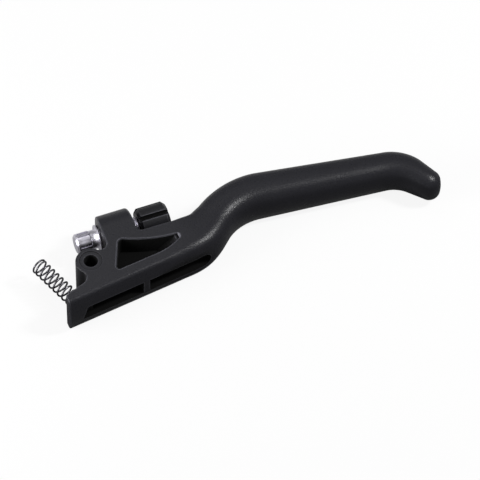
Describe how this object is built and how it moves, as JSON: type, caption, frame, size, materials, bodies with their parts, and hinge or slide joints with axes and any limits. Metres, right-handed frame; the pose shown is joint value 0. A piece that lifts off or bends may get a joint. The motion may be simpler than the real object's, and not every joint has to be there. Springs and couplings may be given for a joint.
{
  "type": "bicycle brake lever",
  "caption": "Moulded hydraulic brake lever blade with S-bend and hooked tip, pivot bore, tool-free reach adjuster with thrust cup, and coil return spring.",
  "frame": {"origin": "centre of the pivot bore at the lever's mid thickness", "axes": "+Z along the pivot bore, +X along the adjuster screw towards the blade's tip, +Y back towards the handlebar"},
  "size_m": [0.1201, 0.0297, 0.014],
  "materials": {
    "blade_plastic": "fine moulded grain, satin black",
    "knob_plastic": "moulded, satin black",
    "plated_steel": "turned and zinc plated",
    "spring_steel": "drawn wire, dark",
    "sleeve_brass": "turned"
  },
  "bodies": {
    "lever": {"lever_blade": "blade_plastic", "threaded_sleeve": "sleeve_brass", "return_spring": "spring_steel"},
    "thrust_cup": {"thrust_cup": "plated_steel"},
    "adjuster": {"adjuster_screw": "plated_steel", "snap_ring": "spring_steel", "adjuster_knob": "knob_plastic"}
  },
  "joints": [
    {"name": "reach_travel", "type": "slide", "parent": "lever", "child": "thrust_cup", "axis": [1, 0, 0], "range_m": [-0.0016, 0]},
    {"name": "knob_turn", "type": "hinge", "parent": "thrust_cup", "child": "adjuster", "pos_m": [0, 0.01115, 0], "axis": [1, 0, 0], "range_deg": [-769, 1]}
  ],
  "couplings": [
    {"joint": "knob_turn", "follows": "reach_travel", "rad_per_m": 8377.6}
  ]
}
